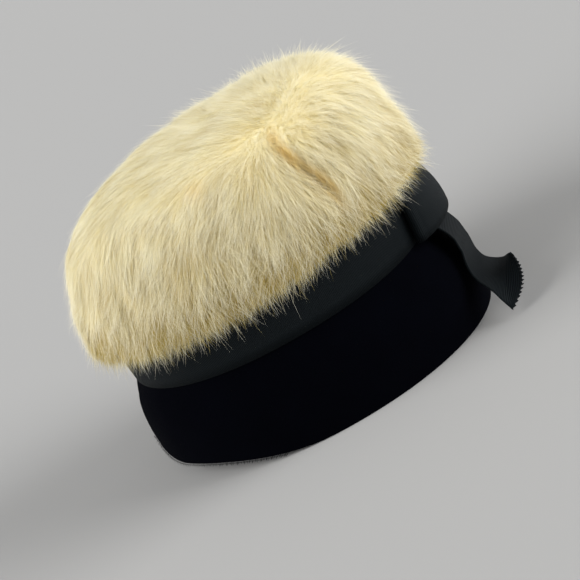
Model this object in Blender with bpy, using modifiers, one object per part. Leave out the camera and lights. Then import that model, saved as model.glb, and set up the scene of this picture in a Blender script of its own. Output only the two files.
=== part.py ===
"""Cloche hat: a tall rounded fur crown over a velvet bell brim, with a grosgrain band and a front bow.

Metres, +Z up. The front of the hat faces -Y and the wearer's right is -X. A turn is an angle round
the hat in degrees, 0 at the front and growing towards the wearer's right.
"""
import math
import random
from collections import namedtuple

import bmesh
import bpy
from mathutils import Vector

# Band: one ribbon width, measured on its outside at the lower edge
BAND_LENGTH = 0.2030
BAND_WIDTH = 0.1830
BAND_BACKWARD = 0.0015
BAND_SPREAD = 0.0060
BAND_FOOT = 0.0600
RIBBON_WIDTH = 0.0380
RIBBON = 0.0010

# Crown: how far the pelt stands out beyond the band, and the plain wall that carries it
FUR_OVER_ENDS = 0.0150
FUR_OVER_SIDES = 0.0115
HAT_HEIGHT = 0.1775
FUR_DEPTH = 0.0125
CROWN_WALL = 0.0025
WALL_STEP = 0.0015
SEAT_LIFT = 0.0012
LIP_THICKNESS = 0.0030
LIP_LIFT = 0.0035
LIP_SWELL = 0.0080
LIP_CLIMB = 0.30

# Locks of fur, and the tuck in the pelt
LOCK_LENGTH = 0.0500
LOCK_WIDTH = 0.0320
LOCK_RISE = 0.0034
LOCK_SINK = 0.0032
LOCK_TURN = 7.0
TUCK_RADIUS = 0.0050

# Brim: velvet bell from under the band to the hem, and how far the hem stands out beyond the band
HEM_OVER_ENDS = 0.0130
HEM_OVER_SIDES = 0.0100
HEM_FORWARD = 0.0026
VELVET = 0.0025
BRIM_LAP = 0.0090
HEM_SWEEP = 0.0100
SWEEP_TURN = 98.0
FULL_SWEEP_TURN = 143.0
CORNER_RISE = 0.0130
CORNER_TURN = 22.5

# Bow: a flat loop across the front, and one tail with a pinked end
FOLD_TURN = 33.0
FOLD_ROUND_TURN = 2.6
BOW_FADE_TURN = 10.0
FOLD_PROUD = 0.0085
BOW_PROUD = 0.0180
BOW_LEAN = 0.0140
FOLD_LEAN = 0.0035
BOW_ROOM = 0.0115
BOW_SHY = 0.0015
TAIL_FLARE = 0.0265
TEETH = 14
TOOTH_DEPTH = 0.0020
END_BULGE = 0.0065

# Clearance between pieces, and how finely round forms are divided
GAP = 0.0004
COLUMNS = 48
VENT_COLUMN = 23
COLUMN_TURN = 360.0 / COLUMNS
SQUARENESS = 2.15

Ring = namedtuple("Ring", "forward half_length half_width front_height back_height")

# Pelt from its lip to its top: front and back reach as shares of half the pelt's length, heights as
# shares of the hat's height
PELT_SHARES = (
    # front, back, front height, back height
    (0.958, 0.948, 0.522, 0.451),
    (0.978, 0.976, 0.540, 0.476),
    (0.994, 1.000, 0.568, 0.513),
    (1.002, 1.008, 0.606, 0.562),
    (1.002, 0.992, 0.656, 0.628),
    (0.985, 0.962, 0.720, 0.694),
    (0.960, 0.920, 0.790, 0.760),
    (0.930, 0.865, 0.855, 0.818),
    (0.890, 0.790, 0.912, 0.868),
    (0.830, 0.690, 0.956, 0.912),
    (0.735, 0.550, 0.984, 0.950),
    (0.560, 0.370, 0.998, 0.980),
    (0.320, 0.170, 1.000, 0.994),
)
SEATED = (4, 6, 8, 10, 11, 12)
SEAM_RING = 7

# Brim from the band's foot to the hem: share of the way down, share of the way out to the hem
BRIM_SHARES = ((0.10, 0.24), (0.22, 0.50), (0.36, 0.72), (0.54, 0.87), (0.76, 0.97), (1.0, 1.0))

# Rows of locks from the lip upwards: share of the way up the pelt, locks in the row
ROW_SHARES = ((0.15, 15), (0.33, 13), (0.51, 11), (0.69, 8), (0.87, 5))

# Along a lock from root to tip: share of its length, share of its rise above the pelt, share of its width
LOCK_SHARES = ((0.0, -0.4, 0.45), (0.3, 0.0, 0.95), (0.58, 0.1, 1.0), (0.82, 0.1, 0.60), (1.0, -0.4, 0.0))

# Tuck in the fur on the wearer's right: turn, share of the way up the pelt
TUCK_PATH = ((62.0, 0.17), (64.0, 0.28), (67.0, 0.40), (70.0, 0.52), (71.0, 0.60))

# Tail of the bow: turn, share of the band foot's height, share of the flare, twist in degrees
TAIL_SHARES = (
    (15.0, 1.42, 0.09, 0.0),
    (15.5, 1.24, 0.14, 0.0),
    (16.0, 1.08, 0.33, 0.0),
    (17.5, 0.86, 0.34, -4.0),
    (19.5, 0.64, 0.20, -7.0),
    (22.0, 0.47, 0.13, -8.0),
    (25.0, 0.37, 0.27, -5.0),
    (29.0, 0.31, 0.65, 6.0),
    (33.0, 0.27, 1.00, 36.0),
)


def mix(low, high, share):
    """Value a share of the way from low to high."""
    return low + (high - low) * share


def ease(share):
    """Smooth step of a share held between 0 and 1."""
    share = min(max(share, 0.0), 1.0)
    return share * share * (3.0 - 2.0 * share)


def ring_point(ring, turn):
    """Point of an oval ring at a turn. Its height runs evenly from the front to the back."""
    angle = math.radians(turn)
    ahead, aside = math.cos(angle), math.sin(angle)
    reach = (abs(ahead) ** SQUARENESS + abs(aside) ** SQUARENESS) ** (-1.0 / SQUARENESS)
    return Vector((
        -ring.half_width * reach * aside,
        -ring.forward - ring.half_length * reach * ahead,
        mix(ring.front_height, ring.back_height, 0.5 - 0.5 * ahead),
    ))


def ring_between(low, high, share):
    """Ring a share of the way from one ring to another."""
    return Ring(*(mix(a, b, share) for a, b in zip(low, high)))


def widened(ring, amount, lift=0.0):
    """Ring grown by an amount all round, and lifted."""
    return Ring(ring.forward, ring.half_length + amount, ring.half_width + amount,
                ring.front_height + lift, ring.back_height + lift)


def inset(rings, depth):
    """Rings from bottom to top, each moved inwards by a depth square to the outline that they make."""
    moved = []
    for index, ring in enumerate(rings):
        below, above = rings[max(index - 1, 0)], rings[min(index + 1, len(rings) - 1)]
        out = above.half_length - below.half_length
        rise = (above.front_height + above.back_height - below.front_height - below.back_height) / 2.0
        slant = math.hypot(out, rise)
        moved.append(widened(ring, -depth * rise / slant, depth * out / slant))
    return moved


def pelt_rings():
    """Outside of the pelt, locks aside, from the lip to the top."""
    half_length = BAND_LENGTH / 2.0 + FUR_OVER_ENDS
    half_width = BAND_WIDTH / 2.0 + FUR_OVER_SIDES
    rings = []
    for front, back, front_height, back_height in PELT_SHARES:
        share = (front + back) / 2.0
        rings.append(Ring(half_length * (front - back) / 2.0, half_length * share, half_width * share,
                          HAT_HEIGHT * front_height, HAT_HEIGHT * back_height))
    return rings


def seated_rings(depth):
    """Rings a depth inside the pelt where it lies on the crown wall."""
    inner = inset(pelt_rings(), depth)
    return [inner[index] for index in SEATED]


def band_ring(share, depth=0.0):
    """Ring on the band, a share of the way up it and a depth inside its outer face."""
    spread = BAND_SPREAD / 2.0 * share - depth
    height = BAND_FOOT + RIBBON_WIDTH * share
    return Ring(-BAND_BACKWARD, BAND_LENGTH / 2.0 + spread, BAND_WIDTH / 2.0 + spread, height, height)


def brim_rings():
    """Outside of the brim from the top of its lap under the band to the hem, for a hem at height 0."""
    under_band = RIBBON + GAP
    rings = [band_ring(share, under_band) for share in (BRIM_LAP / RIBBON_WIDTH, 0.0)]
    hem = Ring(HEM_FORWARD, BAND_LENGTH / 2.0 + HEM_OVER_ENDS, BAND_WIDTH / 2.0 + HEM_OVER_SIDES, 0.0, 0.0)
    for drop, flare in BRIM_SHARES:
        ring = ring_between(rings[1], hem, flare)
        height = BAND_FOOT * (1.0 - drop)
        rings.append(ring._replace(front_height=height, back_height=height))
    return rings


def outer_ring(height):
    """Ring of the hat's outside below the fur at a height: the brim, or the band above its foot."""
    if height >= BAND_FOOT:
        return band_ring((height - BAND_FOOT) / RIBBON_WIDTH)
    rings = brim_rings()[1:]
    for high, low in zip(rings, rings[1:]):
        if low.front_height <= height:
            share = (high.front_height - height) / (high.front_height - low.front_height)
            return ring_between(high, low, share)
    return rings[-1]


def outward(turn, height):
    """Level direction square to the hat's outside at a turn and height."""
    ring = outer_ring(height)
    along = ring_point(ring, turn + 1.0) - ring_point(ring, turn - 1.0)
    return Vector((-along.y, along.x, 0.0)).normalized()


def beside(turn, height, proud):
    """Point at a distance outside the brim or band."""
    point = ring_point(outer_ring(height), turn) + outward(turn, height) * proud
    point.z = height
    return point


def bow_zone(turn):
    """1 where the bow lifts the fur at the front, 0 away from it."""
    return 1.0 - ease((abs(turn) - FOLD_TURN - FOLD_ROUND_TURN) / BOW_FADE_TURN)


def turns():
    """Turns of the columns of a closed ring, from -180 to 180."""
    return [COLUMN_TURN * column - 180.0 for column in range(COLUMNS)]


def new_material(name, colour, roughness):
    """Plain surface of one colour."""
    material = bpy.data.materials.new(name)
    material.use_nodes = True
    shader = material.node_tree.nodes["Principled BSDF"]
    shader.inputs["Base Color"].default_value = (*colour, 1.0)
    shader.inputs["Roughness"].default_value = roughness
    shader.inputs["Metallic"].default_value = 0.0
    return material


def new_object(name, mesh_tool, collection, material=None, flat_faces=False):
    """Object made from a finished bmesh, shaded smooth. flat_faces cuts it into triangles for a Boolean."""
    bmesh.ops.recalc_face_normals(mesh_tool, faces=mesh_tool.faces)
    if flat_faces:
        bmesh.ops.triangulate(mesh_tool, faces=mesh_tool.faces)
    mesh = bpy.data.meshes.new(name)
    mesh_tool.to_mesh(mesh)
    mesh_tool.free()
    mesh.shade_smooth()
    if material:
        mesh.materials.append(material)
    thing = bpy.data.objects.new(name, mesh)
    collection.objects.link(thing)
    return thing


def loft(loops, joined=False, around=True, tips=False):
    """Skin over loops of equal count. joined ties the last loop to the first, around closes each loop,
    and tips closes both ends with a fan on the loop's middle."""
    tool = bmesh.new()
    rows = [[tool.verts.new(point) for point in loop] for loop in loops]
    pairs = list(zip(rows, rows[1:]))
    if joined:
        pairs.append((rows[-1], rows[0]))
    count = len(rows[0])
    for low, high in pairs:
        for here in range(count if around else count - 1):
            there = (here + 1) % count
            tool.faces.new((low[here], low[there], high[there], high[here]))
    if tips:
        for row in (rows[0], rows[-1]):
            middle = tool.verts.new(sum((vert.co for vert in row), Vector()) / count)
            for here in range(count):
                tool.faces.new((row[here], row[(here + 1) % count], middle))
    return tool


def crown_rings():
    """Outside of the crown wall: its foot inside the brim's lap, the stretch behind the band, the dome."""
    in_lap = RIBBON + VELVET + 2.0 * GAP
    behind_band = RIBBON + GAP
    lap = BRIM_LAP / RIBBON_WIDTH
    step = WALL_STEP / RIBBON_WIDTH
    rings = [band_ring(share, in_lap) for share in (-lap, lap + step)]
    rings += [band_ring(share, behind_band) for share in (lap + 4.0 * step, 0.6, 1.0)]
    return rings + seated_rings(FUR_DEPTH)


def crown_faces():
    """Rings of the crown wall's outer and inner face, foot to top."""
    outside = crown_rings()
    inside = inset(outside, CROWN_WALL)
    inside[0] = inside[0]._replace(front_height=outside[0].front_height, back_height=outside[0].back_height)
    return outside, inside


def past_seam(rings):
    """Rings from the crown's seam upwards, starting a gap above it."""
    low, high = rings[SEAM_RING], rings[SEAM_RING + 1]
    rise = (high.front_height + high.back_height - low.front_height - low.back_height) / 2.0
    reach = math.hypot(rise, high.half_width - low.half_width)
    return [ring_between(low, high, GAP / reach)] + rings[SEAM_RING + 1:]


def make_crown_side(collection, material):
    """Hollow side of the crown under the fur, from inside the brim's lap to the seam with the tip."""
    outside, inside = (rings[:SEAM_RING + 1] for rings in crown_faces())
    loops = [[ring_point(ring, turn) for turn in turns()] for ring in outside + inside[::-1]]
    return new_object("crown_side", loft(loops, joined=True), collection, material)


def make_crown_tip(collection, material):
    """Domed top of the crown under the fur, standing on the side's upper edge."""
    outside, inside = (past_seam(rings) for rings in crown_faces())
    loops = [[ring_point(ring, turn) for turn in turns()] for ring in inside[::-1] + outside]
    return new_object("crown_tip", loft(loops, tips=True), collection, material)


def pelt_point(rings, turn, climb):
    """Point on the pelt's outside, a share of the way up its rings."""
    place = min(max(climb, 0.0), 0.9999) * (len(rings) - 1)
    index = int(place)
    ring = ring_between(rings[index], rings[index + 1], place - index)
    return ring_point(ring, turn) + lip_shift(turn, climb)


def lip_shift(turn, climb):
    """How the bow lifts the fur and pushes it out, most at the lip and nothing from LIP_CLIMB up."""
    near = bow_zone(turn) * (1.0 - ease(climb / LIP_CLIMB))
    return (Vector((0, 0, LIP_LIFT)) + outward(turn, BAND_FOOT) * LIP_SWELL) * near


def pelt_normal(rings, turn, climb):
    """Outward direction of the pelt."""
    across = pelt_point(rings, turn + 1.5, climb) - pelt_point(rings, turn - 1.5, climb)
    upward = pelt_point(rings, turn, min(climb + 0.02, 1.0)) - pelt_point(rings, turn, max(climb - 0.02, 0.0))
    return upward.cross(across).normalized()


def make_lock(name, path, normals, width, sink, collection):
    """One lock of fur: a tapering ridge along a path, with its root and its sides sunk in the pelt."""
    loops = []
    for index, (_, _, share) in enumerate(LOCK_SHARES[:-1]):
        ahead = (path[index + 1] - path[max(index - 1, 0)]).normalized()
        side = ahead.cross(normals[index]).normalized() * width / 2.0 * share
        crest = path[index] + normals[index] * LOCK_RISE * share
        foot = path[index] - normals[index] * sink
        loops.append([foot + side, crest, foot - side, foot - normals[index] * sink * 0.3])
    tool = loft(loops)
    tool.verts.ensure_lookup_table()
    first, last = tool.verts[:4], tool.verts[-4:]
    tool.faces.new(first)
    tip = tool.verts.new(path[-1])
    for here in range(4):
        tool.faces.new((last[here], last[(here + 1) % 4], tip))
    return new_object(name, tool, collection, flat_faces=True)


def scatter_locks(rings, collection):
    """Rows of locks laid like shingles, each flowing down the pelt from its row."""
    chance = random.Random(42)
    length_up = sum((ring_point(b, 90.0) - ring_point(a, 90.0)).length for a, b in zip(rings, rings[1:]))
    for row, (climb, count) in enumerate(ROW_SHARES):
        for place in range(count):
            turn = -180.0 + 360.0 * (place + 0.5 * (row % 2) + chance.uniform(-0.18, 0.18)) / count
            length = LOCK_LENGTH * chance.uniform(0.85, 1.15)
            lean = chance.uniform(-LOCK_TURN, LOCK_TURN)
            path, normals = [], []
            for share, lift, _ in LOCK_SHARES:
                down = climb + (0.35 - share) * length / length_up
                here = turn + lean * share * (0.6 + climb)
                normal = pelt_normal(rings, here, max(down, 0.0))
                point = pelt_point(rings, here, max(down, 0.0)) + normal * LOCK_RISE * lift
                point.z += min(down, 0.0) * length_up
                path.append(point)
                normals.append(normal)
            width = LOCK_WIDTH * chance.uniform(0.85, 1.15)
            sink = LOCK_SINK if row else LIP_THICKNESS * 0.5
            make_lock(f"lock_{row}_{place}", path, normals, width, sink, collection)


def make_tuck_cutter(rings, collection):
    """Tapering groove along the tuck, sunk into the fur."""
    loops = []
    last = len(TUCK_PATH) - 1
    for index, (turn, climb) in enumerate(TUCK_PATH):
        swell = TUCK_RADIUS * (0.45 + 0.55 * math.sin(math.pi * (index + 0.6) / (last + 1.2)))
        normal = pelt_normal(rings, turn, climb)
        centre = pelt_point(rings, turn, climb) + normal * LOCK_RISE * 0.5
        side = Vector((0.0, 0.0, 1.0)).cross(normal).normalized()
        angles = [math.radians(60.0 * corner) for corner in range(6)]
        loops.append([centre + (side * math.cos(a) + normal * math.sin(a)) * swell for a in angles])
    return new_object("tuck_cutter", loft(loops, tips=True), collection, flat_faces=True)


def make_fur_crown(collection, cutters, material):
    """Pelt round the crown wall, hanging over the band and lifted by the bow, with its locks and tuck."""
    pelt = pelt_rings()
    inner = seated_rings(FUR_DEPTH - GAP)
    seat = widened(band_ring(1.0, RIBBON), 0.0, SEAT_LIFT)
    outer_loops = []
    for index, ring in enumerate(pelt):
        climb = index / (len(pelt) - 1)
        outer_loops.append([ring_point(ring, turn) + lip_shift(turn, climb) for turn in turns()])
    hanging = widened(pelt[0], -LIP_THICKNESS)
    lip = [ring_point(hanging, turn) + lip_shift(turn, 0.0) for turn in turns()]
    shoulder = []
    for turn in turns():
        room = mix(2.0 * RIBBON, BOW_ROOM, bow_zone(turn))
        shoulder.append(ring_point(widened(band_ring(1.0), room, SEAT_LIFT), turn))
    inner_loops = [[ring_point(ring, turn) for turn in turns()] for ring in [seat] + inner]
    tool = loft(inner_loops[::-1] + [shoulder, lip] + outer_loops, tips=True)
    fur = new_object("fur_crown", tool, collection, material, flat_faces=True)

    locks = bpy.data.collections.new("locks")
    cutters.children.link(locks)
    scatter_locks(pelt, locks)
    union = fur.modifiers.new("locks", "BOOLEAN")
    union.operation = "UNION"
    union.operand_type = "COLLECTION"
    union.collection = locks
    union.solver = "EXACT"

    tuck = fur.modifiers.new("tuck", "BOOLEAN")
    tuck.operation = "DIFFERENCE"
    tuck.object = make_tuck_cutter(pelt, cutters)
    tuck.solver = "EXACT"
    return fur


def hem_height(turn, from_end):
    """Height of the hem: flat, swept up behind the ears, with a rounded corner at each end of the brim."""
    sweep = HEM_SWEEP * ease((abs(turn) - SWEEP_TURN) / (FULL_SWEEP_TURN - SWEEP_TURN))
    corner = max(1.0 - from_end / CORNER_TURN, 0.0)
    return sweep + CORNER_RISE * (1.0 - math.sqrt(1.0 - corner * corner))


def make_brim(collection, material):
    """Velvet bell whose two ends lap each other at the back, each thinned to half the wall there."""
    vent = VENT_COLUMN * COLUMN_TURN
    start = vent - 360.0 - COLUMN_TURN
    fine = [COLUMN_TURN / 3.0 * third for third in range(9)]
    columns = [start + part for part in fine]
    columns += [start + COLUMN_TURN * whole for whole in range(3, COLUMNS - 1)]
    columns += [vent - part for part in reversed(fine)]
    ply = (VELVET - GAP) / 2.0
    rings = brim_rings()
    sections = []
    for column in columns:
        turn = (column + 180.0) % 360.0 - 180.0
        from_end = min(column - start, vent - column)
        thinned = 1.0 - ease((from_end - COLUMN_TURN) / COLUMN_TURN)
        shed_outside = (VELVET - ply) * thinned if column < 0.0 else 0.0
        shed_inside = (VELVET - ply) * thinned if column > 0.0 else 0.0
        squeeze = 1.0 - hem_height(turn, from_end) / BAND_FOOT
        outside, inside = [], []
        for index, ring in enumerate(rings):
            above, below = rings[max(index - 1, 0)], rings[min(index + 1, len(rings) - 1)]
            slope = (below.half_length - above.half_length) / (above.front_height - below.front_height)
            level = math.hypot(1.0, slope)
            for points, depth in ((outside, shed_outside), (inside, VELVET - shed_inside)):
                point = ring_point(widened(ring, -depth * level), turn)
                if point.z < BAND_FOOT:
                    point.z = BAND_FOOT - (BAND_FOOT - point.z) * squeeze
                points.append(point)
        sections.append(outside + inside[::-1])
    tool = loft(sections)
    count, rows = len(sections[0]), len(rings)
    tool.verts.ensure_lookup_table()
    for first in (0, len(tool.verts) - count):
        end = tool.verts[first:first + count]
        for row in range(rows - 1):
            tool.faces.new((end[row], end[row + 1], end[count - 2 - row], end[count - 1 - row]))
    return new_object("brim", tool, collection, material)


def make_hat_band(collection, material):
    """Ribbon round the foot of the crown, over the brim's lap."""
    rings = [band_ring(0.0), band_ring(0.5), band_ring(1.0)]
    rings += [band_ring(share, RIBBON) for share in (1.0, 0.5, 0.0)]
    loops = [[ring_point(ring, turn) for turn in turns()] for ring in rings]
    return new_object("hat_band", loft(loops, joined=True), collection, material)


def add_thickness(thing, amount):
    """Wall of an even thickness about an open surface."""
    wall = thing.modifiers.new("wall", "SOLIDIFY")
    wall.thickness = amount
    wall.offset = 0.0
    wall.use_even_offset = True


def make_bow_loop(collection, material):
    """Ribbon folded into a flat loop round the front of the band, fullest at the middle."""
    inner = GAP + RIBBON / 2.0
    leaf = [FOLD_TURN * (-1.0 + step / 9.0) for step in range(19)]
    path = []
    for turn in leaf:
        full = math.cos(math.radians(90.0 * turn / FOLD_TURN)) ** 0.7 if abs(turn) < FOLD_TURN else 0.0
        path.append((turn, full, 1.0))
    columns = int(FOLD_TURN / COLUMN_TURN)
    for end in (1.0, -1.0):
        for angle in (45.0, 90.0, 135.0):
            swing = math.radians(angle)
            turn = end * (FOLD_TURN + FOLD_ROUND_TURN * math.sin(swing))
            path.append((turn, 0.0, 0.5 + 0.5 * math.cos(swing) * end))
        if end > 0.0:
            path += [(COLUMN_TURN * column, 0.0, 0.0) for column in range(columns, -columns - 1, -1)]
    loops = []
    for share in (0.0, 0.35, 0.7, 1.0):
        height = BAND_FOOT + GAP + (RIBBON_WIDTH - BOW_SHY) * share
        loop = []
        for turn, full, outer in path:
            lean = mix(FOLD_LEAN, BOW_LEAN, full) * share * share
            proud = mix(FOLD_PROUD, BOW_PROUD, full) - lean
            loop.append(beside(turn, height, mix(inner, proud, outer)))
        loops.append(loop)
    loop = new_object("bow_loop", loft(loops), collection, material)
    add_thickness(loop, RIBBON)
    return loop


def smooth_station(stations, place):
    """Values at a place along a table, on a curve through its rows."""
    index = min(int(place), len(stations) - 2)
    share = place - index
    before, after = stations[max(index - 1, 0)], stations[min(index + 2, len(stations) - 1)]
    low, high = stations[index], stations[index + 1]
    values = []
    for a, b, c, d in zip(before, low, high, after):
        bend = (2 * a - 5 * b + 4 * c - d) * share ** 2 + (3 * b - a - 3 * c + d) * share ** 3
        values.append(b + 0.5 * ((c - a) * share + bend))
    return values


def make_bow_tail(collection, material):
    """Loose tail from inside the loop, down the brim and out to a pinked end."""
    across = 7
    rows = 2 * (len(TAIL_SHARES) - 1)
    loops = []
    for row in range(rows + 1):
        turn, high, flare, twist = smooth_station(TAIL_SHARES, row / 2.0)
        height = BAND_FOOT * high
        centre = beside(turn, height, TAIL_FLARE * flare)
        out = outward(turn, height)
        level = Vector((out.y, -out.x, 0.0))
        lean = math.radians(twist)
        side = level * math.cos(lean) - Vector((0, 0, 1)) * math.sin(lean)
        shares = [column / across - 0.5 for column in range(across + 1)]
        loops.append([centre + side * RIBBON_WIDTH * share for share in shares])
    tool = loft(loops[:-1], around=False)
    tool.verts.ensure_lookup_table()
    last = tool.verts[-(across + 1):]
    first_corner, last_corner = loops[-1][0], loops[-1][-1]
    teeth = []
    for point in range(2 * TEETH + 1):
        share = point / (2 * TEETH)
        reach = END_BULGE * 4.0 * share * (1.0 - share) - TOOTH_DEPTH * (point % 2)
        teeth.append(tool.verts.new(first_corner.lerp(last_corner, share) + out * reach))
    each = 2 * TEETH // across
    for column in range(across):
        edge = teeth[column * each:(column + 1) * each + 1]
        tool.faces.new([last[column + 1], last[column]] + edge)
    tail = new_object("bow_tail", tool, collection, material)
    add_thickness(tail, RIBBON)
    return tail


def set_down(things, collection):
    """Hang every piece on one empty, placed so that the floor and the middle of the hat are the origin."""
    frame = bpy.data.objects.new("cloche_hat_frame", None)
    collection.objects.link(frame)
    bpy.context.view_layer.update()
    graph = bpy.context.evaluated_depsgraph_get()
    corners = [Vector(corner) for thing in things for corner in thing.evaluated_get(graph).bound_box]
    low = [min(corner[axis] for corner in corners) for axis in range(3)]
    high = [max(corner[axis] for corner in corners) for axis in range(3)]
    frame.location = (-(low[0] + high[0]) / 2.0, -(low[1] + high[1]) / 2.0, -low[2])
    for thing in bpy.data.objects:
        if thing is not frame:
            thing.parent = frame


def main():
    """Build the hat from an empty scene."""
    for old in list(bpy.data.objects):
        bpy.data.objects.remove(old, do_unlink=True)
    hat = bpy.data.collections.new("cloche_hat")
    cutters = bpy.data.collections.new("cutters")
    for collection in (hat, cutters):
        bpy.context.scene.collection.children.link(collection)
    felt = new_material("crown_felt", (0.62, 0.55, 0.40), 0.95)
    fur = new_material("cream_fur", (0.80, 0.71, 0.46), 0.80)
    velvet = new_material("black_velvet", (0.004, 0.004, 0.006), 0.95)
    grosgrain = new_material("black_grosgrain", (0.012, 0.015, 0.018), 0.70)
    pieces = [
        make_crown_side(hat, felt),
        make_crown_tip(hat, felt),
        make_fur_crown(hat, cutters, fur),
        make_brim(hat, velvet),
        make_hat_band(hat, grosgrain),
        make_bow_loop(hat, grosgrain),
        make_bow_tail(hat, grosgrain),
    ]
    for cutter in cutters.all_objects:
        cutter.hide_render = True
        cutter.display_type = "WIRE"
    set_down(pieces, hat)


main()
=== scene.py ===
"""Cloche hat: a fur crown with combed hair, a velvet bell brim, and a ribbed ribbon band with a bow at the front.

Metres, +Z up. The front of the hat faces -Y and the wearer's right is -X. A turn is an angle round the hat in
degrees, 0 at the front and growing towards the wearer's right.
"""
import math

import bmesh
import bpy
import numpy as np
from mathutils import Matrix, Vector, bvhtree, kdtree, noise


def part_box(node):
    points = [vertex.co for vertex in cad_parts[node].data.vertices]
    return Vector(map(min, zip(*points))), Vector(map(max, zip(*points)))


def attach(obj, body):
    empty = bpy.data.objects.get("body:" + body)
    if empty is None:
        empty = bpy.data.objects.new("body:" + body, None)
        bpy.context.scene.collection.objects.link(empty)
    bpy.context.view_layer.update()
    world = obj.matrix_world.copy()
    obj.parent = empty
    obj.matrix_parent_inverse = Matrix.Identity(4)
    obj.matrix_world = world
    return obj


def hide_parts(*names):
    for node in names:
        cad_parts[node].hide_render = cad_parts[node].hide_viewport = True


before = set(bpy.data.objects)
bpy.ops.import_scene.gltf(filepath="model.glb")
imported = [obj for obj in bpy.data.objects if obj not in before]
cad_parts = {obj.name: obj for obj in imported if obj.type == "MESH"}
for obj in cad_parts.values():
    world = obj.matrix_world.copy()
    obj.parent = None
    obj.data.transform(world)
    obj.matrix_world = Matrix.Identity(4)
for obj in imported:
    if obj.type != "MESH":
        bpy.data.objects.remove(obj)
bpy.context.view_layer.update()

# Camera: at the wearer's right and a little above level. It is rolled because the hat is pictured tipped back,
# and here the hat stands level on its brim.
VIEW_RISE = math.radians(18.5)
VIEW_ROLL = math.radians(30.0)
VIEW_DISTANCE = 1.05
VIEW_LENS = 105.1
AIM_FORWARD, AIM_HEIGHT = 0.0036, 0.0562


def new_object(name, data):
    """Object of the scene that holds some data."""
    thing = bpy.data.objects.new(name, data)
    bpy.context.scene.collection.objects.link(thing)
    return thing


brim_low, brim_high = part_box("brim")
brim_middle = Vector(((brim_low.x + brim_high.x) / 2.0, (brim_low.y + brim_high.y) / 2.0, 0.0))
aim = brim_middle + Vector((0.0, -AIM_FORWARD, AIM_HEIGHT))
to_camera = Vector((-math.cos(VIEW_RISE), 0.0, math.sin(VIEW_RISE)))
level_right = Vector((0.0, -1.0, 0.0))
level_up = to_camera.cross(level_right)
camera_right = level_right * math.cos(VIEW_ROLL) - level_up * math.sin(VIEW_ROLL)
camera_up = level_right * math.sin(VIEW_ROLL) + level_up * math.cos(VIEW_ROLL)
camera_turn = Matrix((camera_right, camera_up, to_camera)).transposed().to_4x4()
camera = new_object("camera", bpy.data.cameras.new("camera"))
camera.data.lens = VIEW_LENS
camera.data.sensor_width = 36.0
camera.data.clip_start = 0.05
camera.matrix_world = Matrix.Translation(aim + to_camera * VIEW_DISTANCE) @ camera_turn
bpy.context.scene.camera = camera


# Crown side and tip: stiffened wool felt, blocked to shape and sewn together under the fur. They show only
# from below, inside the hat. Felt has no weave, so it gets short matted fibres and a faint mottle.
def new_finish(name, colour, roughness):
    """Material of one colour, returned with its tree and its shader."""
    finish = bpy.data.materials.new(name)
    finish.use_nodes = True
    shader = finish.node_tree.nodes["Principled BSDF"]
    shader.inputs["Base Color"].default_value = (*colour, 1.0)
    shader.inputs["Roughness"].default_value = roughness
    return finish, finish.node_tree, shader


def add_node(tree, kind, **values):
    """Node of a kind with its plain settings, or its inputs by name."""
    node = tree.nodes.new(kind)
    for name, value in values.items():
        if hasattr(node, name):
            setattr(node, name, value)
        else:
            node.inputs[name.replace("_", " ")].default_value = value
    return node


def cloth_nap_group():
    """Nap of a cloth: its colour mottled over the surface, and a fine uneven height for a bump."""
    group = bpy.data.node_groups.new("cloth_nap", "ShaderNodeTree")
    for name, kind in (("Colour", "NodeSocketColor"), ("Worn and sheen", "NodeSocketColor"), ("Patch size", "NodeSocketFloat"),
                       ("Fibre size", "NodeSocketFloat")):
        group.interface.new_socket(name, in_out="INPUT", socket_type=kind)
    for name, kind in (("Colour", "NodeSocketColor"), ("Height", "NodeSocketFloat")):
        group.interface.new_socket(name, in_out="OUTPUT", socket_type=kind)
    given, made = add_node(group, "NodeGroupInput"), add_node(group, "NodeGroupOutput")
    where = add_node(group, "ShaderNodeTexCoord")
    grains = []
    for size, detail in (("Patch size", 4.0), ("Fibre size", 2.0)):
        scale = add_node(group, "ShaderNodeMath", operation="DIVIDE")
        scale.inputs[0].default_value = 1.0
        group.links.new(given.outputs[size], scale.inputs[1])
        grain = add_node(group, "ShaderNodeTexNoise", Detail=detail)
        group.links.new(scale.outputs[0], grain.inputs["Scale"])
        group.links.new(where.outputs["Object"], grain.inputs["Vector"])
        grains.append(grain)
    blend = add_node(group, "ShaderNodeMix", data_type="RGBA")
    group.links.new(grains[0].outputs["Fac"], blend.inputs["Factor"])
    group.links.new(given.outputs["Colour"], blend.inputs["A"])
    group.links.new(given.outputs["Worn and sheen"], blend.inputs["B"])
    group.links.new(blend.outputs["Result"], made.inputs["Colour"])
    group.links.new(grains[1].outputs["Fac"], made.inputs["Height"])
    return group


cloth_nap = cloth_nap_group()


def dress(tree, shader, colour, worn_and_sheen, patch, fibre, strength, depth):
    """Puts the nap on a material: colours, patch and fibre sizes in metres, bump strength and depth."""
    nap = add_node(tree, "ShaderNodeGroup", node_tree=cloth_nap)
    nap.inputs["Colour"].default_value = (*colour, 1.0)
    nap.inputs["Worn and sheen"].default_value = (*worn_and_sheen, 1.0)
    nap.inputs["Patch size"].default_value = patch
    nap.inputs["Fibre size"].default_value = fibre
    bump = add_node(tree, "ShaderNodeBump", Strength=strength, Distance=depth)
    tree.links.new(nap.outputs["Height"], bump.inputs["Height"])
    tree.links.new(nap.outputs["Colour"], shader.inputs["Base Color"])
    tree.links.new(bump.outputs["Normal"], shader.inputs["Normal"])
    return nap, bump


felt, felt_tree, felt_shader = new_finish("crown_felt", (0.62, 0.55, 0.40), 0.95)
dress(felt_tree, felt_shader, (0.56, 0.49, 0.34), (0.68, 0.61, 0.46), 0.012, 0.0012, 0.5, 0.0006)
for node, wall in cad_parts.items():
    if node.startswith("crown_"):
        wall.data.materials.clear()
        wall.data.materials.append(felt)


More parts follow.
